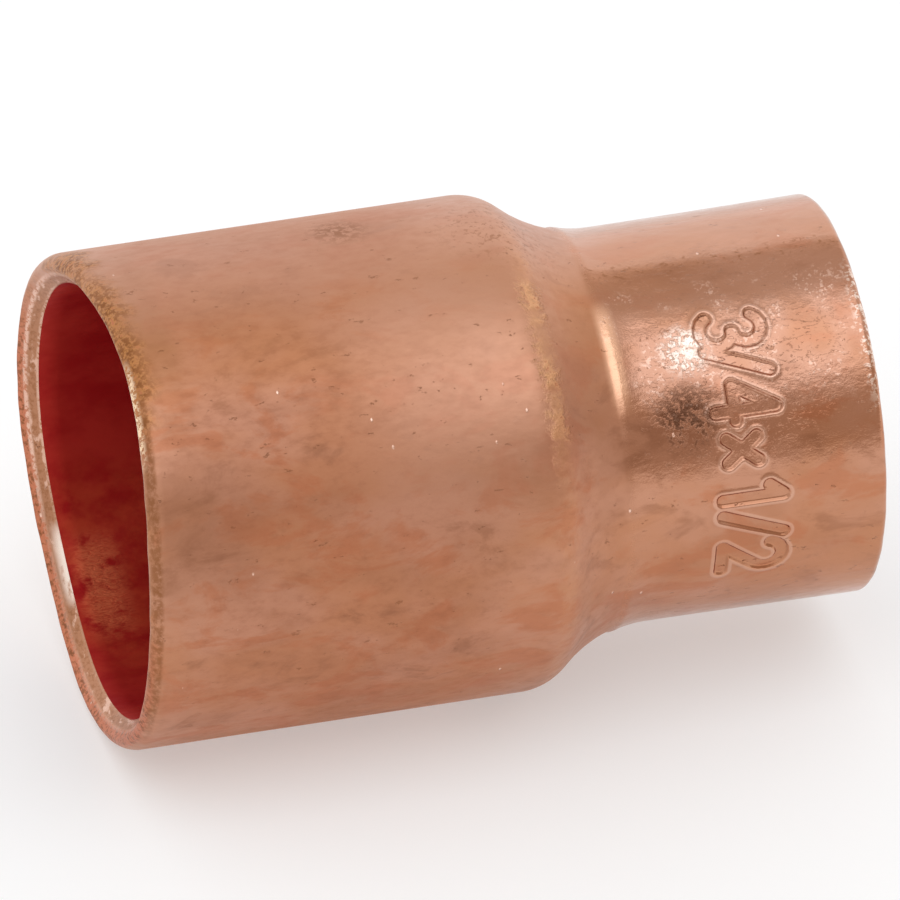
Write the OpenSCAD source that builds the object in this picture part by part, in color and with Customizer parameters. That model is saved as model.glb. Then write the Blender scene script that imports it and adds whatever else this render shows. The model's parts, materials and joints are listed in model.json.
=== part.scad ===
// Wrought copper solder-joint reducer, 3/4 x 1/2 nominal, fitting end x cup.
// One seamless piece, turned about the X axis. The origin is the centre of the cup's tube stop,
// and +X points out of the cup's mouth.

/* [Large male end] */
// Outside diameter, which slides into a 3/4 nominal cup
large_od = 22.22; // [21.8:0.01:23]
// Inside diameter of the waterway
large_bore = 19.5; // [18.6:0.1:19.8]
// Straight length from the lip to the start of the shoulder
large_l = 18.6; // [17.2:0.05:22]
// How far the lip's outer edge is rounded back along the axis
lip_back = 0.85; // [0.4:0.05:1.2]
// How far the lip's outer edge is rounded in towards the axis
lip_in = 0.56; // [0.3:0.02:0.6]
// How far the lip's inner edge lies behind the crest of the lip
lip_bevel = 0.8; // [0.4:0.05:1]

/* [Shoulder] */
// Angle between the cone and the axis
cone_angle = 39.5; // [36:0.5:42]
// Radius of the rounded edge between the large end and the cone
edge_r = 2.6; // [1.5:0.1:3]
// Radius of the hollow sweep between the cone and the neck
sweep_r = 6.1; // [4:0.1:6.5]
// Outside diameter of the neck, the narrowest place
neck_od = 17.6; // [17.2:0.05:17.8]

/* [Small cup] */
// Outside diameter at the mouth, a little wider than the neck
cup_od = 17.84; // [17.6:0.02:18.4]
// Inside diameter, which takes a 1/2 nominal tube of 15.88 mm
cup_id = 15.98; // [15.93:0.01:16.03]
// Depth from the mouth to the tube stop
cup_l = 12.7; // [12.7:0.1:13.5]
// Radius of the mouth's rounded edges
mouth_r = 0.33; // [0.1:0.01:0.4]

/* [Waterway between the ends] */
// Diameter of the narrow ring that stops the tube
throat_d = 14.9; // [13.6:0.1:15.5]
// Length of that ring
throat_l = 0.85; // [0.5:0.05:1.2]
// Overall length from lip to mouth
total_l = 34.7; // [34.5:0.05:36]

/* [Hidden] */
COPPER = [0.80, 0.52, 0.40];
ARC_STEPS = 12;
ROUND_FN = 128;

large_r = large_od / 2;
bore_r = large_bore / 2;
neck_r = neck_od / 2;
cup_r = cup_od / 2;
throat_r = throat_d / 2;
socket_r = cup_id / 2;
lip_x = cup_l - total_l;
edge_x = lip_x + large_l;
// The cone falls by what the two arcs beside it leave of the step in radius
arc_fall = (edge_r + sweep_r) * (1 - cos(cone_angle));
cone_l = (large_r - neck_r - arc_fall) / tan(cone_angle);
neck_x = edge_x + (edge_r + sweep_r) * sin(cone_angle) + cone_l;
// The waterway's cone runs from the throat up to the bore at the same angle
throat_x = -throat_l;
funnel_x = throat_x - (bore_r - throat_r) / tan(cone_angle);

// Points of an arc in the section, each as [distance from the axis, place along the axis].
// The arc's centre is at x along the axis and r away from it, and its angle is counted from +X.
function arc(x, r, size_x, size_r, from, to) = [
    for (i = [0 : ARC_STEPS])
        let (a = from + (to - from) * i / ARC_STEPS)
        [r + size_r * sin(a), x + size_x * cos(a)]
];

function lip_edge() = arc(lip_x + lip_back, large_r - lip_in, lip_back, lip_in, 180, 90);
function shoulder_edge() = arc(edge_x, large_r - edge_r, edge_r, edge_r, 90, 90 - cone_angle);
function neck_sweep() = arc(neck_x, neck_r + sweep_r, sweep_r, sweep_r, 270 - cone_angle, 270);
function mouth_outer() = arc(cup_l - mouth_r, cup_r - mouth_r, mouth_r, mouth_r, 90, 0);
function mouth_inner() = arc(cup_l - mouth_r, socket_r + mouth_r, mouth_r, mouth_r, 0, -90);

function tube_stop() = [[socket_r, 0], [throat_r, 0], [throat_r, throat_x]];
function waterway() = [[bore_r, funnel_x], [bore_r, lip_x + lip_bevel]];

// The section's outline: along the outside from the lip to the mouth, and back through the inside
outside = concat(lip_edge(), shoulder_edge(), neck_sweep(), mouth_outer());
inside = concat(mouth_inner(), tube_stop(), waterway());

module reducer_body() {
    color(COPPER)
        rotate([0, 90, 0])
            rotate_extrude($fn = ROUND_FN)
                polygon(concat(outside, inside));
}

reducer_body();
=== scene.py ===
import json
import math
from types import SimpleNamespace

import bpy
import numpy as np
from mathutils import Matrix, Vector, noise


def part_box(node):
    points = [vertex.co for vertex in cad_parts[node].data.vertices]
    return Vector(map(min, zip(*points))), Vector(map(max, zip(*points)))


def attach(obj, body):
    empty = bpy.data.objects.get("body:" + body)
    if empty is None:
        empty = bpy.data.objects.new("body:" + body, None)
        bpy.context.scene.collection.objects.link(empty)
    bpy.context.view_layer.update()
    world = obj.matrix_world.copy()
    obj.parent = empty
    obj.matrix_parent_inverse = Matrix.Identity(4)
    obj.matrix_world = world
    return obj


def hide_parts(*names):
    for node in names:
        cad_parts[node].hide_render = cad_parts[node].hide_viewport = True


# The reducer lies on its side with its axis along X. Lengths are in metres, and in millimetres
# where a name ends in _MM. Angles about the axis are counted from straight up (+Z) towards -Y,
# the camera's side.

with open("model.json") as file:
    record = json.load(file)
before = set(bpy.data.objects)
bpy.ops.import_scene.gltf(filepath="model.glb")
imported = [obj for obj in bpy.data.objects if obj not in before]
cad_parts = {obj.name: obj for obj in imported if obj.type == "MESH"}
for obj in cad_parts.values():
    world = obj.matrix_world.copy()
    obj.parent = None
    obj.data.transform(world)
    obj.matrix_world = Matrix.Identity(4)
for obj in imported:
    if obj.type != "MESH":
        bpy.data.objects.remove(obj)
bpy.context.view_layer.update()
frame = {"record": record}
BOX_LOW, BOX_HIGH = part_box("reducer_body")
MOUNTS = {m["name"]: m["dims"] for m in frame["record"]["mounts"]}
MM = 0.001

# ---------------------------------------------------------------- camera

CAMERA_AZIMUTH = math.radians(-15.45)
CAMERA_ELEVATION = math.radians(32.8)
CAMERA_DISTANCE = 1.107
CAMERA_AIM = Vector((-5.77, -3.10, 2.01)) * MM
CAMERA_LENS_MM = 1005.0
SENSOR_MM = 36.0


def make_camera():
    """A long lens, so that the object shows almost no perspective."""
    a, e = CAMERA_AZIMUTH, CAMERA_ELEVATION
    back = Vector((math.sin(a) * math.cos(e), -math.cos(a) * math.cos(e), math.sin(e)))
    right = Vector((math.cos(a), math.sin(a), 0))
    camera_data = bpy.data.cameras.new("camera")
    camera_data.sensor_width = SENSOR_MM
    camera_data.lens = CAMERA_LENS_MM
    camera_data.clip_start, camera_data.clip_end = 0.05, 20
    camera = bpy.data.objects.new("camera", camera_data)
    axes = Matrix((right, back.cross(right), back)).transposed()
    camera.matrix_world = Matrix.Translation(CAMERA_AIM + back * CAMERA_DISTANCE) @ axes.to_4x4()
    bpy.context.scene.collection.objects.link(camera)
    bpy.context.scene.camera = camera


# ---------------------------------------------------------------- outline

LARGE_R = MOUNTS["male_end"]["r_mm"] * MM
SOCKET_R = MOUNTS["small_cup"]["r_mm"] * MM
LIP_X = BOX_LOW.x
MOUTH_X = BOX_HIGH.x

# Large end
BORE_R = 9.75 * MM
LIP_BACK = 0.85 * MM
LIP_IN = 0.56 * MM
LIP_BEVEL = 0.80 * MM
LARGE_L = 18.6 * MM
EDGE_X = LIP_X + LARGE_L
# Shoulder
CONE_ANGLE = 39.5
EDGE_R = 2.6 * MM
SWEEP_R = 6.1 * MM
NECK_R = 8.8 * MM
# Small cup
CUP_R = 8.92 * MM
MOUTH_R = 0.33 * MM
THROAT_R = 7.45 * MM
THROAT_L = 0.85 * MM
# The band of the cup that the size is stamped on
STAMP_FROM_X = 4.5 * MM
STAMP_TO_X = 8.6 * MM
# Steps in the outline's arcs and straight stretches, closest together on the stamp
LIP_STEPS, EDGE_STEPS, SWEEP_STEPS, STAMP_STEPS, MOUTH_STEPS = 14, 12, 24, 64, 7
LARGE_END_STEPS, CONE_STEPS, NECK_STEPS, CUP_END_STEPS = 18, 2, 5, 12
BEVEL_STEPS = 14
# The cup, the tube stop, the throat, the funnel, the waterway and the lip's inner bevel
INSIDE_STEPS = (12, 3, 3, 8, 18, BEVEL_STEPS)


def arc(x, r, size_x, size_r, start, end, steps):
    """Points (x, r) of an arc about (x, r); angles are in degrees from +X."""
    angles = [math.radians(start + (end - start) * i / steps) for i in range(steps + 1)]
    return [(x + size_x * math.cos(a), r + size_r * math.sin(a)) for a in angles]


def line(start, end, steps):
    """Points on a straight stretch, without its two ends."""
    return [tuple(s + (e - s) * i / steps for s, e in zip(start, end)) for i in range(1, steps)]


def outside_outline():
    """The section's outline from the crest of the lip, along the outside, to the mouth."""
    tangent = math.radians(CONE_ANGLE)
    fall = (EDGE_R + SWEEP_R) * (1 - math.cos(tangent))
    cone_l = (LARGE_R - NECK_R - fall) / math.tan(tangent)
    neck_x = EDGE_X + (EDGE_R + SWEEP_R) * math.sin(tangent) + cone_l

    def cup_radius(x):
        return NECK_R + (CUP_R - NECK_R) * (x - neck_x) / (MOUTH_X - neck_x)

    lip = arc(LIP_X + LIP_BACK, LARGE_R - LIP_IN, LIP_BACK, LIP_IN, 180, 90, LIP_STEPS)
    edge = arc(EDGE_X, LARGE_R - EDGE_R, EDGE_R, EDGE_R, 90, 90 - CONE_ANGLE, EDGE_STEPS)
    sweep = arc(neck_x, NECK_R + SWEEP_R, SWEEP_R, SWEEP_R, 270 - CONE_ANGLE, 270, SWEEP_STEPS)
    stamp = [(x, cup_radius(x)) for x in np.linspace(STAMP_FROM_X, STAMP_TO_X, STAMP_STEPS)]
    mouth = arc(MOUTH_X - MOUTH_R, CUP_R - MOUTH_R, MOUTH_R, MOUTH_R, 90, 0, MOUTH_STEPS)
    return (
        lip + line(lip[-1], edge[0], LARGE_END_STEPS) + edge
        + line(edge[-1], sweep[0], CONE_STEPS) + sweep
        + line(sweep[-1], stamp[0], NECK_STEPS) + stamp
        + line(stamp[-1], mouth[0], CUP_END_STEPS) + mouth
    )


def inside_outline(crest):
    """The rest of the outline: through the cup, the tube stop and the waterway, back to the lip."""
    inside = arc(MOUTH_X - MOUTH_R, SOCKET_R + MOUTH_R, MOUTH_R, MOUTH_R, 0, -90, MOUTH_STEPS)
    funnel_x = -THROAT_L - (BORE_R - THROAT_R) / math.tan(math.radians(CONE_ANGLE))
    corners = [
        inside[-1], (0.0, SOCKET_R), (0.0, THROAT_R), (-THROAT_L, THROAT_R), (funnel_x, BORE_R),
        (LIP_X + LIP_BEVEL, BORE_R), crest,
    ]
    points = inside[:-1]
    for start, end, steps in zip(corners, corners[1:], INSIDE_STEPS):
        points += [start] + line(start, end, steps)
    return points


# ---------------------------------------------------------------- stamp

BOW_STEPS = 10


def bow(x, y, size, start, end):
    """A round stretch of a stroke."""
    return arc(x, y, size, size, start, end, BOW_STEPS)


# Generic size marks, drawn as strokes in a cell 1 high. Each glyph is a list of polylines of
# (across, up).
GLYPHS = {
    "1": [[(0.12, 0.78), (0.30, 1.0), (0.30, 0.0)]],
    "2": [bow(0.28, 0.73, 0.27, 165, -35) + [(0.02, 0.0), (0.56, 0.0)]],
    "3": [bow(0.26, 0.75, 0.25, 150, -80) + bow(0.26, 0.26, 0.27, 80, -150)],
    "4": [[(0.42, 0.0), (0.42, 1.0), (0.0, 0.32), (0.58, 0.32)]],
    "/": [[(0.0, 0.0), (0.42, 1.0)]],
    "x": [[(0.06, 0.12), (0.46, 0.62)], [(0.06, 0.62), (0.46, 0.12)]],
}
STAMP = "3/4 x 1/2"
STAMP_LOW_X = 5.15 * MM
STAMP_HEIGHT = 2.75 * MM
STAMP_START = math.radians(29)
# From one mark to the next, where a mark's height is 1
STAMP_ADVANCE = 0.60
SPACE_ADVANCE = 0.20
STROKE_HALF = 0.23 * MM
STROKE_WALL = 0.11 * MM
STROKE_DEPTH = 0.12 * MM
STROKE_RIM = 0.035 * MM


def stamp_strokes():
    """Every stroke as a segment ((x, s), (x, s)), s being the arc length around the cup from the top."""
    strokes, across = [], 0.0
    for mark in STAMP:
        for polyline in GLYPHS.get(mark, []):
            places = [
                (STAMP_LOW_X + up * STAMP_HEIGHT, STAMP_START * CUP_R + (across + side) * STAMP_HEIGHT)
                for side, up in polyline
            ]
            strokes += list(zip(places, places[1:]))
        across += SPACE_ADVANCE if mark == " " else STAMP_ADVANCE
    return strokes


def smooth(t):
    t = np.clip(t, 0, 1)
    return t * t * (3 - 2 * t)


def stamp_relief(x, angle):
    """Height of the stamped marks: flat grooves with a low rim of pushed-up metal."""
    s = angle * CUP_R
    nearest = np.full(x.shape, 1.0)
    for (x0, s0), (x1, s1) in stamp_strokes():
        dx, ds = x1 - x0, s1 - s0
        t = np.clip(((x - x0) * dx + (s - s0) * ds) / (dx * dx + ds * ds), 0, 1)
        nearest = np.minimum(nearest, np.hypot(x - x0 - t * dx, s - s0 - t * ds))
    groove = 1 - smooth((nearest - STROKE_HALF) / STROKE_WALL)
    rim = np.exp(-(((nearest - STROKE_HALF - 1.5 * STROKE_WALL) / STROKE_WALL) ** 2))
    return STROKE_RIM * rim - STROKE_DEPTH * groove


# ---------------------------------------------------------------- unevenness

# How far the cut of the lip is out of square, and towards which angle it falls back
LIP_TILT = 0.25 * MM
LIP_TILT_ANGLE = math.radians(93)
LIP_TILT_FADE = 4.5 * MM
# Where it also falls back locally, as (angle, half width, depth)
LIP_DIPS = [
    (math.radians(24), math.radians(38), 0.72 * MM),
    (math.radians(221), math.radians(35), 0.31 * MM),
]
# The ridge around the lip's end, left by the cut
RIDGE_R = 10.18 * MM
RIDGE_HEIGHT = 0.05 * MM
RIDGE_WIDTH = 0.13 * MM
# The low ring where the cup was pressed to size
RING_X = 0.75 * MM
RING_HEIGHT = 0.09 * MM
RING_RISE = 0.28 * MM
RING_FALL = 1.3 * MM
# Dents as (x, angle, length along, length around, depth)
DENTS = [
    (4.3 * MM, math.radians(38), 0.5 * MM, 0.9 * MM, 0.035 * MM),
    (2.4 * MM, math.radians(30), 0.7 * MM, 0.5 * MM, 0.012 * MM),
    (10.6 * MM, math.radians(33), 0.8 * MM, 0.6 * MM, 0.015 * MM),
    (-13.0 * MM, math.radians(10), 1.4 * MM, 0.8 * MM, 0.015 * MM),
    (-6.0 * MM, math.radians(200), 1.0 * MM, 1.0 * MM, 0.02 * MM),
    (-16.0 * MM, math.radians(150), 1.2 * MM, 0.9 * MM, 0.02 * MM),
]
# Only points further out than this from the cup's or the bore's own wall are uneven
CUP_SKIN = 0.3 * MM
BORE_SKIN = 0.2 * MM
# How far the lip's, the mouth's and the shoulder's own unevenness reaches
LIP_ZONE = 1.3 * MM
MOUTH_ZONE = 0.5 * MM
SHOULDER_X = -2.2 * MM
SHOULDER_ZONE = 0.45 * MM
# Heights of the waves
BROAD_WAVE = 0.012 * MM
SHOULDER_WAVE = 0.014 * MM
LIP_WAVE = 0.02 * MM
LIP_NOTCH = 0.025 * MM
MOUTH_WAVE = 0.012 * MM
MOUTH_NOTCH = 0.02 * MM


def noise_field(places, per_mm, seed):
    """Smooth noise from -1 to 1 at each place, with features about 1 / per_mm millimetres apart."""
    offset = Vector((seed * 17.3, seed * 5.7, seed * 11.9))
    scale = per_mm / MM
    return np.array([noise.noise(Vector(p) * scale + offset) for p in places])


def turn_from(angle, middle):
    """The angle from the middle, the short way round."""
    return (angle - middle + math.pi) % (2 * math.pi) - math.pi


def ring_relief(x):
    rising = smooth((x - RING_X) / RING_RISE)
    return RING_HEIGHT * rising * np.exp(-np.maximum(x - RING_X - RING_RISE, 0) / RING_FALL)


def dent_relief(x, angle):
    height = np.zeros(x.shape)
    for dent_x, dent_angle, along, around, depth in DENTS:
        turn = turn_from(angle, dent_angle)
        height -= depth * np.exp(-(((x - dent_x) / along) ** 2) - (turn * LARGE_R / around) ** 2)
    return height


def lip_setback(x, angle):
    """How far the lip falls back along the axis, because the tube was not cut quite square."""
    setback = LIP_TILT * (1 + np.cos(angle - LIP_TILT_ANGLE))
    for middle, half_width, depth in LIP_DIPS:
        setback += depth * np.exp(-((turn_from(angle, middle) / half_width) ** 2))
    return smooth(1 - (x - LIP_X) / LIP_TILT_FADE) * setback


def unevenness(x, r, angle):
    """Moves of each point along the axis and away from it, from the plain turned shape."""
    places = np.stack([x, -r * np.sin(angle), r * np.cos(angle)], -1)
    on_cup = smooth((r - SOCKET_R - CUP_SKIN) / CUP_SKIN) * (x > 0)
    on_large_end = (r > BORE_R + BORE_SKIN) * (x <= 0)
    outside = on_cup + on_large_end
    lip = smooth(1 - (x - LIP_X) / LIP_ZONE)
    mouth = smooth(1 - (MOUTH_X - x) / MOUTH_ZONE)
    shoulder = np.exp(-(((x - SHOULDER_X) / SHOULDER_ZONE) ** 2))
    broad = noise_field(places, per_mm=0.16, seed=1)
    fine = noise_field(places, per_mm=2.2, seed=2)
    out = outside * (
        BROAD_WAVE * (broad - 1) + SHOULDER_WAVE * shoulder * fine
        + stamp_relief(x, angle) + ring_relief(x) + dent_relief(x, angle)
    )
    out += LIP_WAVE * lip * (noise_field(places, per_mm=1.1, seed=3) + 0.6 * fine - 1)
    out += MOUTH_WAVE * mouth * (noise_field(places, per_mm=1.6, seed=4) - 1)
    along = lip_setback(x, angle) + LIP_NOTCH * lip * (1 + noise_field(places, per_mm=0.8, seed=5))
    along -= MOUTH_NOTCH * mouth * (1 + noise_field(places, per_mm=0.9, seed=6))
    along -= RIDGE_HEIGHT * (x < LIP_X + LIP_BEVEL) * np.exp(-(((r - RIDGE_R) / RIDGE_WIDTH) ** 2))
    return along, np.minimum(out, LARGE_R - r)


# ---------------------------------------------------------------- mesh

FINE_FROM, FINE_TO = math.radians(23), math.radians(121)
FINE_COLUMNS, COARSE_COLUMNS = 276, 164


def column_angles():
    """Angles about the axis, closer together where the stamp is."""
    fine = np.linspace(FINE_FROM, FINE_TO, FINE_COLUMNS, endpoint=False)
    coarse = np.linspace(FINE_TO, FINE_FROM + 2 * math.pi, COARSE_COLUMNS, endpoint=False)
    return np.concatenate([fine, coarse])


def make_body(outside_material, inside_material):
    outside = outside_outline()
    inside = inside_outline(outside[0])
    points = np.array(outside + inside)
    angles = column_angles()
    rings, columns = len(points), len(angles)
    x, r = (np.repeat(points[:, i], columns) for i in (0, 1))
    angle = np.tile(angles, rings)
    along, out = unevenness(x, r, angle)
    plain_x, x, r = x, x + along, r + out
    vertices = np.stack([x, -r * np.sin(angle), r * np.cos(angle)], -1)
    faces = [
        (i * columns + j, i * columns + (j + 1) % columns,
         (i + 1) % rings * columns + (j + 1) % columns, (i + 1) % rings * columns + j)
        for i in range(rings) for j in range(columns)
    ]
    mesh = bpy.data.meshes.new("reducer")
    mesh.from_pydata(vertices.tolist(), [], faces)
    mesh.materials.append(outside_material)
    mesh.materials.append(inside_material)
    for i in range(len(outside) + MOUTH_STEPS, rings - BEVEL_STEPS):
        for j in range(columns):
            mesh.polygons[i * columns + j].material_index = 1
    for name, values in (("stamp", stamp_relief(x, angle) / STROKE_DEPTH), ("plain_x", plain_x / MM)):
        mesh.attributes.new(name, "FLOAT", "POINT").data.foreach_set("value", values)
    mesh.validate()
    mesh.shade_smooth()
    body = bpy.data.objects.new("reducer", mesh)
    bpy.context.scene.collection.objects.link(body)
    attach(body, "root")
    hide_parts("reducer_body")
    return body


# ---------------------------------------------------------------- materials

# A mix node has sockets of its own for each type of data. These are a, b and the result.
NUMBER_SOCKETS = (2, 3, 0)
COLOR_SOCKETS = (6, 7, 2)


class Graph:
    """Short names for the shader nodes of one material. Places and depths are in millimetres."""

    def __init__(self, name):
        self.material = bpy.data.materials.new(name)
        self.material.use_nodes = True
        self.nodes = self.material.node_tree.nodes
        self.links = self.material.node_tree.links
        self.shader = self.nodes["Principled BSDF"]
        place = self.nodes.new("ShaderNodeTexCoord").outputs["Object"]
        self.place = self.vector("SCALE", place, scale=1 / MM)
        split = self.nodes.new("ShaderNodeSeparateXYZ")
        self.put(self.place, split.inputs[0])
        self.x = split.outputs["X"]
        self.radius = self.vector("LENGTH", self.vector("MULTIPLY", self.place, (0, 1, 1)))

    def put(self, value, socket):
        if isinstance(value, bpy.types.NodeSocket):
            self.links.new(value, socket)
        elif isinstance(value, tuple) and socket.type == "RGBA":
            socket.default_value = (*value, 1)
        else:
            socket.default_value = value

    def vector(self, operation, a, b=None, scale=None):
        node = self.nodes.new("ShaderNodeVectorMath")
        node.operation = operation
        self.put(a, node.inputs[0])
        if b is not None:
            self.put(b, node.inputs[1])
        if scale is not None:
            self.put(scale, node.inputs["Scale"])
        has_value = operation in ("DISTANCE", "LENGTH", "DOT_PRODUCT")
        return node.outputs["Value" if has_value else "Vector"]

    def math(self, operation, a, b=0.0):
        node = self.nodes.new("ShaderNodeMath")
        node.operation = operation
        self.put(a, node.inputs[0])
        self.put(b, node.inputs[1])
        return node.outputs[0]

    def chain(self, operation, result, *others):
        for other in others:
            result = self.math(operation, result, other)
        return result

    def times(self, *factors):
        return self.chain("MULTIPLY", *factors)

    def plus(self, *parts):
        return self.chain("ADD", *parts)

    def most(self, *values):
        return self.chain("MAXIMUM", *values)

    def stretch(self, along, across, shift=0.0):
        """The place, scaled along the axis and across it, and moved to another part of the pattern."""
        scaled = self.vector("MULTIPLY", self.place, (along, across, across))
        return self.vector("ADD", scaled, (shift, shift, shift))

    def noise(self, place, detail=3.0, roughness=0.5, distortion=0.0):
        node = self.nodes.new("ShaderNodeTexNoise")
        self.put(place, node.inputs["Vector"])
        for name, value in (("Scale", 1.0), ("Detail", detail), ("Roughness", roughness),
                            ("Distortion", distortion)):
            self.put(value, node.inputs[name])
        return node.outputs["Fac"]

    def spots(self, place, share, size):
        """Small marks at a share of random points, about one point in each unit of the place."""
        node = self.nodes.new("ShaderNodeTexVoronoi")
        self.put(place, node.inputs["Vector"])
        self.put(1.0, node.inputs["Scale"])
        split = self.nodes.new("ShaderNodeSeparateColor")
        self.put(node.outputs["Color"], split.inputs[0])
        marks = self.span(node.outputs["Distance"], size * 0.4, size, 1.0, 0.0)
        return self.times(marks, self.math("LESS_THAN", split.outputs[0], share))

    def span(self, value, start, end, low=0.0, high=1.0):
        """Runs smoothly from low to high as the value goes from start to end."""
        node = self.nodes.new("ShaderNodeMapRange")
        node.interpolation_type = "SMOOTHSTEP"
        for name, number in (("Value", value), ("From Min", start), ("From Max", end),
                             ("To Min", low), ("To Max", high)):
            self.put(number, node.inputs[name])
        return node.outputs["Result"]

    def band(self, value, middle, half, soft):
        """1 within half of the middle, falling to 0 over soft."""
        away = self.math("ABSOLUTE", self.math("SUBTRACT", value, middle))
        return self.span(away, half, half + soft, 1.0, 0.0)

    def near(self, place, start, end):
        """1 within start of that place, given as (x, degrees, radius), falling to 0 at end."""
        x, degrees, r = place
        a = math.radians(degrees)
        spot = (x, -r * math.sin(a), r * math.cos(a))
        return self.span(self.vector("DISTANCE", self.place, spot), start, end, 1.0, 0.0)

    def facing(self, degrees, start, end):
        """1 within start degrees of that angle about the axis, falling to 0 at end degrees."""
        a = math.radians(degrees)
        dot = self.vector("DOT_PRODUCT", self.place, (0, -math.sin(a), math.cos(a)))
        cosine = self.math("DIVIDE", dot, self.radius)
        return self.span(cosine, math.cos(math.radians(end)), math.cos(math.radians(start)))

    def attribute(self, name):
        node = self.nodes.new("ShaderNodeAttribute")
        node.attribute_name = name
        return node.outputs["Fac"]

    def blend(self, data_type, sockets, factor, a, b):
        node = self.nodes.new("ShaderNodeMix")
        node.data_type = data_type
        first, second, result = sockets
        self.put(factor, node.inputs["Factor"])
        self.put(a, node.inputs[first])
        self.put(b, node.inputs[second])
        return node.outputs[result]

    def mix(self, factor, a, b):
        """Colour a where the factor is 0, and b where it is 1."""
        return self.blend("RGBA", COLOR_SOCKETS, factor, a, b)

    def lerp(self, factor, a, b):
        """Number a where the factor is 0, and b where it is 1."""
        return self.blend("FLOAT", NUMBER_SOCKETS, factor, a, b)

    def finish(self, color, roughness, height, metallic=1.0):
        self.put(metallic, self.shader.inputs["Metallic"])
        self.put(color, self.shader.inputs["Base Color"])
        self.put(roughness, self.shader.inputs["Roughness"])
        bump = self.nodes.new("ShaderNodeBump")
        bump.inputs["Strength"].default_value = 1.0
        bump.inputs["Distance"].default_value = MM
        self.put(height, bump.inputs["Height"])
        self.put(bump.outputs["Normal"], self.shader.inputs["Normal"])
        return self.material


TAN = (0.525, 0.237, 0.13)
PINK = (0.56, 0.275, 0.175)
ORANGE = (0.51, 0.19, 0.095)
AMBER = (0.56, 0.24, 0.105)
BROWN = (0.34, 0.145, 0.08)
GOLD = (0.53, 0.235, 0.075)
RUST = (0.27, 0.10, 0.035)
# Gold for the shoulder's edge, brightened as a painted highlight
EDGE_GOLD = (0.88, 0.48, 0.24)
EMBER = (0.60, 0.20, 0.11)
# Paler copper for painted sheen, painted highlights and painted reflections
PALE = (0.60, 0.33, 0.235)
DARK = (0.12, 0.05, 0.028)
# Pale pink for painted highlights on edges, raised stamp metal, flecks and glints
WORN = (0.85, 0.55, 0.43)
# Near white for painted glare: lamp reflections and glints
GLARE = (1.0, 0.86, 0.76)
# Warm bright for painted glints along the lip's crest
SUNLIT = (1.0, 0.74, 0.46)
# Gold-pink for the painted highlight on the cup's ring
GILT = (0.92, 0.52, 0.33)
SMOKE = (0.36, 0.165, 0.08)
BEVEL = (0.46, 0.215, 0.12)
# Dark reds for the inside: painted shade and painted reflected red
RED = (0.36, 0.010, 0.011)
LIGHTER_RED = (0.45, 0.028, 0.02)
WARM_RED = (0.60, 0.095, 0.035)
# Bright red for the painted highlight streak inside, near the lip
RUBBED_RED = (0.88, 0.25, 0.11)
# The inside is painted dark red, less metallic than bare copper, and dull, as painted shade and the
# painted red of copper's reflections in the bore
INSIDE_METALLIC = 0.5
INSIDE_SPECULAR = 0.1
FLOOR_COLOR = (0.63, 0.63, 0.63)
FLOOR_ROUGHNESS = 0.9
GLOW_COLOR = (1.0, 1.0, 1.0)
FLOOR_GLOW = 0.37

# Places along the axis and radii, in millimetres as the shaders count them
LIP_MM = LIP_X / MM
MOUTH_MM = MOUTH_X / MM
LARGE_R_MM = LARGE_R / MM
BORE_R_MM = BORE_R / MM
RIDGE_R_MM = RIDGE_R / MM
CUP_R_MM = CUP_R / MM
GOLD_LINE_MM = -2.4
CUP_FROM_MM = 0.9
# How deep the lip's end reaches, behind the crest
LIP_END_MM = LIP_BEVEL / MM
# Places of single marks, as (x, degrees about the axis, radius)
SMUDGE_AT = (LIP_MM + 3.0, 66, LARGE_R_MM)
BLOTCH_AT = (-9.5, -11, LARGE_R_MM)
SHOULDER_DIRT_AT = (-2.5, -3, 10.5)
STAIN_AT = (3.8, 57, CUP_R_MM)
# Where the painted highlight on the shallow dent beside the stamp falls, and its white core
BURNISHED_AT = (4.3, 38, CUP_R_MM)
BURNISHED_CORE_AT = (4.4, 38.5, CUP_R_MM)
SCRATCHED_AT = (6.5, 36, CUP_R_MM)


def patterns(g):
    """The noises and zones that the marks share, as masks by name."""
    m = SimpleNamespace()
    m.broad = g.noise(g.stretch(0.12, 0.20, 3.0), detail=3.0, roughness=0.6)
    m.stains = g.noise(g.stretch(0.25, 0.45, 11.0), detail=5.0, roughness=0.62, distortion=0.5)
    m.grain = g.noise(g.stretch(1.3, 2.4, 5.0), detail=4.0, roughness=0.65)
    m.crumbs = g.noise(g.stretch(3.2, 3.2, 8.0), detail=4.0, roughness=0.7)
    m.clusters = g.noise(g.stretch(0.5, 0.5, 24.0), detail=2.0)
    m.from_lip = g.math("SUBTRACT", g.attribute("plain_x"), LIP_MM)
    m.cup = g.span(g.x, CUP_FROM_MM - 0.5, CUP_FROM_MM + 0.4)
    m.body = g.math("SUBTRACT", 1.0, m.cup)
    grit = g.noise(g.stretch(6.0, 6.0, 17.0), detail=3.0, roughness=0.6)
    m.crackle = g.plus(g.times(0.6, m.crumbs), g.times(0.4, grit))
    return m


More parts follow.
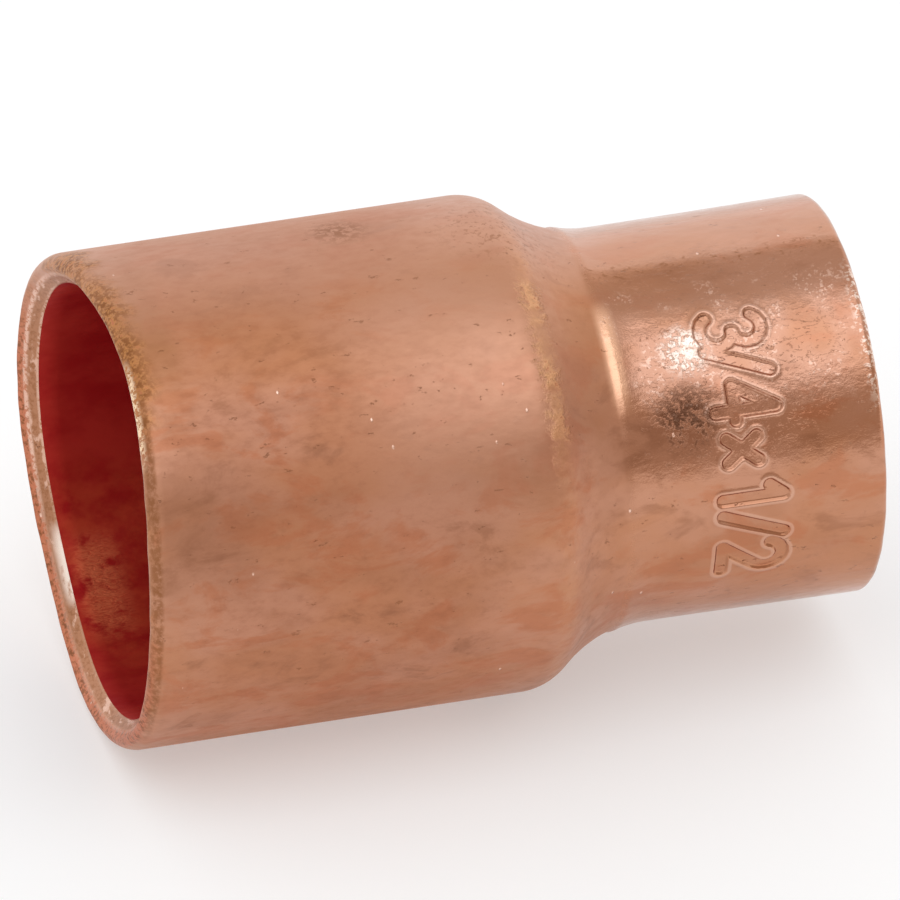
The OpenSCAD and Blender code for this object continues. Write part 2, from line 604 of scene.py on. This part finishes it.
def tarnish(g, m):
    """Broad pink and tan, with orange and brown stains, a paler painted sheen on top, and a paler
    painted highlight in a band towards the shoulder.
    """
    color = g.mix(g.span(m.broad, 0.38, 0.62), TAN, PINK)
    color = g.mix(g.span(m.stains, 0.50, 0.62, 0.0, 0.65), color, ORANGE)
    color = g.mix(g.span(m.stains, 0.32, 0.44, 0.5, 0.0), color, BROWN)
    shade = g.noise(g.stretch(0.3, 0.5, 91.0), detail=2.0)
    color = g.mix(g.span(shade, 0.45, 0.68, 0.0, 0.2), color, BROWN)
    color = g.mix(g.span(m.grain, 0.50, 0.75, 0.0, 0.18), color, BROWN)
    smudge = g.near(SMUDGE_AT, 0.5, 4.5)
    color = g.mix(g.times(smudge, g.span(m.stains, 0.40, 0.55, 0.5, 0.2)), color, BROWN)
    smoked = g.times(g.band(m.from_lip, 1.6, 0.8, 1.6), g.facing(8, 14, 32))
    color = g.mix(g.times(smoked, g.span(m.stains, 0.3, 0.6, 0.85, 0.45)), color, SMOKE)
    color = g.mix(g.times(0.35, m.body, g.facing(17, 10, 26)), color, AMBER)
    # Paler on the large end's top, as a painted sheen
    top = g.times(g.facing(-20, 20, 44), m.body)
    # Paler in a band towards the shoulder, on the side facing the key light, as a painted highlight
    m.rubbed_edge = g.times(g.band(g.x, -6.0, 1.5, 6.0), g.facing(38, 8, 40))
    return g.mix(g.most(g.times(0.55, top), g.times(0.5, m.rubbed_edge)), color, PALE)


def burnt_edges(g, m, color):
    """Gold and rust on the lip's outer edge and along the shoulder's edge. The shoulder's gold is oxide
    painted brighter where the key light's highlight falls, so it is partly a painted highlight.
    """
    upper = g.facing(4, 26, 50)
    ragged = g.times(g.noise(g.stretch(0.6, 0.8, 21.0), detail=5.0), 3.0)
    depth = g.plus(g.math("SUBTRACT", m.from_lip, ragged), g.lerp(upper, 1.25, 0.0))
    lip = g.times(g.span(depth, -1.7, 0.3, 1.0, 0.0), g.lerp(upper, 0.5, 1.0))
    edge_x = g.plus(g.x, g.times(g.math("SUBTRACT", m.crumbs, 0.5), 1.6))
    patches = g.noise(g.stretch(0.3, 0.45, 31.0), detail=3.0, roughness=0.7)
    # The shoulder's gold line, strongest facing the key light: oxide and painted highlight
    edge = g.times(
        g.band(edge_x, GOLD_LINE_MM, 0.05, 0.6), g.span(patches, 0.36, 0.60, 0.2, 1.0),
        g.lerp(g.facing(37, 9, 30), 0.15, 1.0)
    )
    m.oxide = g.most(lip, edge)
    color = g.mix(g.times(lip, g.span(m.crumbs, 0.35, 0.65, 0.95, 0.45)), color, GOLD)
    color = g.mix(g.times(0.7, edge), color, EDGE_GOLD)
    color = g.mix(g.times(g.most(lip, g.times(0.25, edge)), g.span(m.crackle, 0.45, 0.56)), color, RUST)
    color = g.mix(g.times(m.oxide, g.span(m.crackle, 0.46, 0.38)), color, ORANGE)
    burnt_line = g.times(
        g.band(m.from_lip, 0.28, 0.12, 0.22), g.facing(78, 34, 60), g.span(m.crumbs, 0.35, 0.6)
    )
    return g.mix(g.times(0.7, burnt_line), color, RUST)


def lip_end(g, m, color):
    """The lip's end: a burnt outer band and a plainer inner band, with painted highlights on the ridge,
    the brim and in streaks, painted glints along the crest, and a painted lamp reflection on the inner
    band.
    """
    on_end = g.span(m.from_lip, LIP_END_MM + 0.02, LIP_END_MM + 0.1, 1.0, 0.0)
    outer_ring = g.band(g.radius, RIDGE_R_MM + 0.35, 0.25, 0.2)
    ridge_ring = g.band(g.radius, RIDGE_R_MM + 0.02, 0.04, 0.10)
    brim_ring = g.span(g.radius, BORE_R_MM + 0.12, BORE_R_MM + 0.04)
    m.outer_band = g.times(on_end, outer_ring, g.facing(200, 70, 120))
    m.inner_band = g.times(on_end, g.span(g.radius, RIDGE_R_MM, RIDGE_R_MM - 0.08))
    # Painted highlights along the ridge and along the bore's brim
    ridge = g.times(on_end, ridge_ring, g.span(m.crackle, 0.42, 0.52))
    brim = g.times(on_end, brim_ring, g.span(m.crackle, 0.45, 0.5))
    color = g.mix(g.times(m.outer_band, 0.8), color, EMBER)
    color = g.mix(g.times(m.outer_band, g.span(m.crackle, 0.50, 0.62), 0.7), color, DARK)
    color = g.mix(m.inner_band, color, BEVEL)
    grime = g.times(g.most(m.inner_band, m.outer_band), g.span(m.crackle, 0.46, 0.58))
    color = g.mix(g.times(0.5, grime), color, RUST)
    polish = g.noise(g.stretch(2.5, 0.9, 27.0), detail=4.0, roughness=0.6)
    # A painted reflection of a lamp on the inner band, low on the far side
    shine = g.times(
        m.inner_band, g.facing(221, 0, 13), g.span(g.radius, BORE_R_MM + 0.42, BORE_R_MM + 0.04),
        g.span(polish, 0.30, 0.46)
    )
    # Painted glints along the crest, on the side facing the key light
    m.sparkle = g.times(
        g.facing(37, 6, 15), g.span(m.from_lip, 0.02, 0.28, 1.0, 0.0), g.span(m.crackle, 0.46, 0.52)
    )
    # The painted highlights are brighter where the lip faces the lamps
    lit = g.lerp(g.most(g.facing(276, 20, 50), g.facing(60, 40, 90)), 0.3, 1.0)
    edges = g.most(g.times(0.8, ridge), g.times(0.6, brim), shine, m.sparkle)
    # Painted highlight streaks on the inner band
    polished = g.times(0.6, m.inner_band, g.span(polish, 0.54, 0.62))
    m.lip_bright = g.most(g.times(edges, lit), shine, polished)
    color = g.mix(m.lip_bright, color, WORN)
    color = g.mix(g.times(0.8, m.sparkle), color, SUNLIT)
    return g.mix(shine, color, GLARE)


def cup_wear(g, m, color):
    """Painted light on the cup: a paler painted highlight along its front, a paler painted reflection on
    top with a darker painted reflection band below it, and a painted highlight on the ring beside the
    cone.
    """
    # A paler painted highlight along the cup's front, facing the key light
    front = g.times(m.cup, g.facing(36, 8, 24))
    color = g.mix(g.times(front, g.span(m.clusters, 0.35, 0.6, 0.2, 0.55)), color, PALE)
    # A paler painted reflection on top, and a darker painted reflection band just below it
    above = g.times(m.cup, g.facing(-24, 29, 33))
    below = g.times(m.cup, g.facing(14, 5, 14), g.math("SUBTRACT", 1.0, above))
    color = g.mix(g.times(0.5, above), color, PALE)
    color = g.mix(g.times(0.45, below), color, BROWN)
    # A painted highlight on the ring beside the cone
    ring = g.times(g.band(g.x, CUP_FROM_MM + 0.1, 0.1, 0.5), g.facing(37, 8, 19))
    return g.mix(g.times(0.85, ring), color, GILT)


def stamp_wear(g, m, color):
    """Dark in the corners of the stamped marks, with a painted highlight along the raised metal at their
    edges.
    """
    mark = g.attribute("stamp")
    color = g.mix(g.times(0.3, g.band(mark, -0.55, 0.15, 0.3)), color, BROWN)
    # A painted highlight along the raised metal at the marks' edges
    m.rims = g.span(mark, 0.06, 0.22)
    return g.mix(g.times(0.3, m.rims), color, WORN)


def dark_marks(g, m, color):
    """Small specks, dirty patches, a line of dark specks along the edge of the cup's painted dark
    reflection band, and a stain beside the stamp.
    """
    spread = g.plus(m.crackle, g.times(0.5, m.stains))
    m.stain = g.times(g.near(STAIN_AT, 0.3, 2.2), g.span(spread, 0.66, 0.78))
    chips = g.noise(g.stretch(1.3, 2.6, 2.0), detail=5.0, roughness=0.7)
    m.specks = g.most(g.span(chips, 0.645, 0.69), g.spots(g.stretch(0.7, 1.1, 7.0), 0.05, 0.08))
    # A line of dark specks at 8° on the cup, along the upper edge of its painted dark reflection band
    line = g.times(g.facing(8, 1, 4), m.cup, g.span(m.crumbs, 0.56, 0.62))
    blotch = g.times(g.near(BLOTCH_AT, 0.3, 1.9), g.span(m.crumbs, 0.42, 0.54))
    shoulder_dirt = g.times(g.near(SHOULDER_DIRT_AT, 0.5, 4.0), g.span(m.crackle, 0.52, 0.60))
    dirt = g.most(line, shoulder_dirt, g.times(0.9, blotch))
    color = g.mix(g.times(0.55, g.near(STAIN_AT, 0.3, 2.6)), color, BROWN)
    color = g.mix(g.times(0.6, dirt), color, RUST)
    color = g.mix(g.times(m.specks, 0.4), color, RUST)
    return g.mix(g.times(m.stain, 0.85), color, DARK)


def bright_marks(g, m, color):
    """Painted highlights: bright flecks all over, painted glints on the cup's front and along its mouth,
    and a painted highlight with a white glare core on the shallow dent beside the stamp.
    """
    # Tiny bright flecks all over, as painted glints
    m.flecks = g.spots(g.stretch(1.3, 0.8, 14.0), 0.11, 0.10)
    # A soft painted highlight on the shallow dent beside the stamp, with a white painted glare at its
    # core
    patch = g.near(BURNISHED_AT, 0.4, 1.5)
    core = g.near(BURNISHED_CORE_AT, 0.1, 0.7)
    m.burnished = g.most(
        g.times(patch, g.span(m.crackle, 0.46, 0.52)), g.times(core, g.span(m.crackle, 0.38, 0.46))
    )
    # Painted glints on the cup's front, facing the key light, and along the mouth
    cup_glints = g.times(
        m.cup, g.facing(37, 12, 24), g.span(m.crackle, 0.53, 0.58), g.span(m.clusters, 0.50, 0.60)
    )
    mouth_glints = g.times(
        g.facing(40, 12, 26), g.span(g.x, MOUTH_MM - 0.8, MOUTH_MM - 0.1), g.span(m.crackle, 0.49, 0.56)
    )
    glints = g.most(cup_glints, mouth_glints)
    m.bright = g.most(m.flecks, m.burnished, g.times(0.6, glints))
    color = g.mix(g.most(m.bright, g.times(0.5, patch)), color, WORN)
    return g.mix(g.times(0.7, g.most(m.burnished, mouth_glints)), color, GLARE)


def gloss(g, m):
    """The large end is dull in its middle, and the cup is smoother."""
    rough = g.lerp(g.band(g.x, -13.0, 4.5, 5.0), 0.40, 0.60)
    rough = g.lerp(g.times(0.5, m.rubbed_edge), rough, 0.38)
    rough = g.lerp(m.cup, rough, 0.17)
    rough = g.plus(rough, g.span(m.grain, 0.3, 0.7, -0.04, 0.06))
    rough = g.lerp(g.times(0.6, m.inner_band), rough, 0.35)
    return g.lerp(g.most(m.bright, m.lip_bright, g.times(0.6, m.rims)), rough, 0.18)


def relief(g, m):
    """Relief too fine for the mesh, as a height in millimetres."""
    scratch = g.noise(g.stretch(2.2, 5.0, 41.0), detail=2.0, distortion=1.6)
    scratches = g.times(g.span(scratch, 0.60, 0.65), g.near(SCRATCHED_AT, 2.0, 6.5))
    return g.plus(
        g.times(0.020, g.noise(g.stretch(0.8, 1.3, 51.0), detail=2.0)),
        g.times(g.lerp(m.cup, 0.006, 0.010), m.grain),
        g.times(0.11, m.oxide, m.crackle),
        g.times(0.08, m.outer_band, m.crackle),
        g.times(0.02, g.plus(scratches, m.flecks)),
        g.times(0.03, g.most(m.burnished, m.sparkle), m.crumbs),
        g.times(0.02, m.cup, g.facing(38, 20, 50), m.crumbs),
        g.times(-0.02, g.most(m.specks, m.stain)),
    )


def copper_outside():
    g = Graph("copper_outside")
    m = patterns(g)
    color = tarnish(g, m)
    for marks in (burnt_edges, lip_end, cup_wear, stamp_wear, dark_marks, bright_marks):
        color = marks(g, m, color)
    return g.finish(color, gloss(g, m), relief(g, m))


def copper_inside():
    """The wall inside the bore, painted dark red as painted shade and the painted red of copper's
    reflections in it, warmer in one place near the lip, with a painted highlight streak there.
    """
    g = Graph("copper_inside")
    blotches = g.noise(g.stretch(0.25, 0.4, 61.0), detail=4.0, roughness=0.6)
    grain = g.noise(g.stretch(1.5, 2.5, 71.0), detail=3.0)
    hairs = g.noise(g.stretch(2.0, 7.0, 81.0), detail=2.0, distortion=2.0)
    # Dark red all over the inside: painted shade and painted reflected red
    color = g.mix(g.span(blotches, 0.35, 0.65), RED, LIGHTER_RED)
    scuffs = g.noise(g.stretch(0.8, 1.0, 83.0), detail=4.0, roughness=0.65)
    # A painted highlight streak on the far inside wall near the lip
    streak = g.times(
        g.band(g.x, LIP_MM + 2.6, 0.2, 1.3), g.facing(213, 2, 18), g.span(scuffs, 0.34, 0.54)
    )
    rubbed = g.times(streak, g.span(hairs, 0.32, 0.6, 0.3, 1.0))
    warm = g.times(g.band(g.x, LIP_MM + 4.0, 1.5, 4.0), g.facing(215, 8, 40), g.span(scuffs, 0.30, 0.68))
    color = g.mix(g.times(0.5, warm), color, WARM_RED)
    color = g.mix(g.times(0.75, rubbed), color, RUBBED_RED)
    rough = g.lerp(rubbed, g.span(grain, 0.3, 0.7, 0.55, 0.68), 0.35)
    height = g.plus(g.times(0.012, grain), g.times(0.02, rubbed, hairs))
    g.put(INSIDE_SPECULAR, g.shader.inputs["Specular IOR Level"])
    return g.finish(color, rough, height, metallic=INSIDE_METALLIC)


def floor_material():
    """A white floor that glows a little, as a light table does, so that the shadow stays pale."""
    g = Graph("floor")
    g.put(FLOOR_COLOR, g.shader.inputs["Base Color"])
    g.put(FLOOR_ROUGHNESS, g.shader.inputs["Roughness"])
    g.put(GLOW_COLOR, g.shader.inputs["Emission Color"])
    g.put(FLOOR_GLOW, g.shader.inputs["Emission Strength"])
    return g.material


# ---------------------------------------------------------------- stage and light

def make_plane(name, size, location, material):
    half = size / 2
    corners = [(-half, -half, 0), (half, -half, 0), (half, half, 0), (-half, half, 0)]
    mesh = bpy.data.meshes.new(name)
    mesh.from_pydata(corners, [], [(0, 1, 2, 3)])
    mesh.materials.append(material)
    plane = bpy.data.objects.new(name, mesh)
    plane.location = location
    bpy.context.scene.collection.objects.link(plane)


FLOOR_SIZE = 6.0
# An area lamp's watts to the square metre for a brightness of 1
LAMP_WATTS = 4
LAMP_COLOR = (0.9, 1.0, 1.12)
SKY_COLOR = (1.0, 0.985, 0.965)
SKY = 0.87
# The sky dims towards this direction, as the cosine of the angle from it goes through the fade
DIM_SIDE = (0.55, -0.80, -0.25)
DIM_FADE = (0.42, 0.68)
DIM_COLOR = (0.68, 0.58, 0.50)


def make_softbox(name, low, high, distance, length, adds):
    """A long soft lamp along X, which adds that much brightness to the sky behind it. It fills the
    view between two elevations, in degrees counted from the camera's side over the top."""
    middle = math.radians((low + high) / 2)
    width = 2 * distance * math.tan(math.radians((high - low) / 2))
    data = bpy.data.lights.new(name, "AREA")
    data.shape = "RECTANGLE"
    data.size, data.size_y = length, width
    data.energy = LAMP_WATTS * adds * length * width
    data.color = LAMP_COLOR
    lamp = bpy.data.objects.new(name, data)
    lamp.location = (0, -distance * math.cos(middle), distance * math.sin(middle))
    lamp.rotation_euler = lamp.location.to_track_quat("Z", "Y").to_euler()
    lamp.visible_camera = False
    bpy.context.scene.collection.objects.link(lamp)


def make_sky():
    """Plain bright surroundings, dimmer low down on the camera's side and towards the small end."""
    world = bpy.data.worlds.new("world")
    world.use_nodes = True
    nodes, links = world.node_tree.nodes, world.node_tree.links
    towards = nodes.new("ShaderNodeVectorMath")
    towards.operation = "DOT_PRODUCT"
    towards.inputs[1].default_value = DIM_SIDE
    links.new(nodes.new("ShaderNodeTexCoord").outputs["Generated"], towards.inputs[0])
    fade = nodes.new("ShaderNodeMapRange")
    fade.interpolation_type = "SMOOTHSTEP"
    fade.inputs["From Min"].default_value, fade.inputs["From Max"].default_value = DIM_FADE
    links.new(towards.outputs["Value"], fade.inputs["Value"])
    mix = nodes.new("ShaderNodeMix")
    mix.data_type = "RGBA"
    first, second, result = COLOR_SOCKETS
    mix.inputs[first].default_value = (*SKY_COLOR, 1)
    mix.inputs[second].default_value = (*DIM_COLOR, 1)
    links.new(fade.outputs["Result"], mix.inputs["Factor"])
    links.new(mix.outputs[result], nodes["Background"].inputs["Color"])
    nodes["Background"].inputs["Strength"].default_value = SKY
    bpy.context.scene.world = world


def make_light():
    make_sky()
    make_softbox("key", low=43, high=88, distance=0.8, length=1.0, adds=0.58)
    make_softbox("back", low=132, high=180, distance=0.9, length=4.0, adds=0.25)
    bpy.context.scene.view_settings.view_transform = "Standard"


make_camera()
make_body(copper_outside(), copper_inside())
make_plane("floor", FLOOR_SIZE, (0, 0, BOX_LOW.z), floor_material())
make_light()
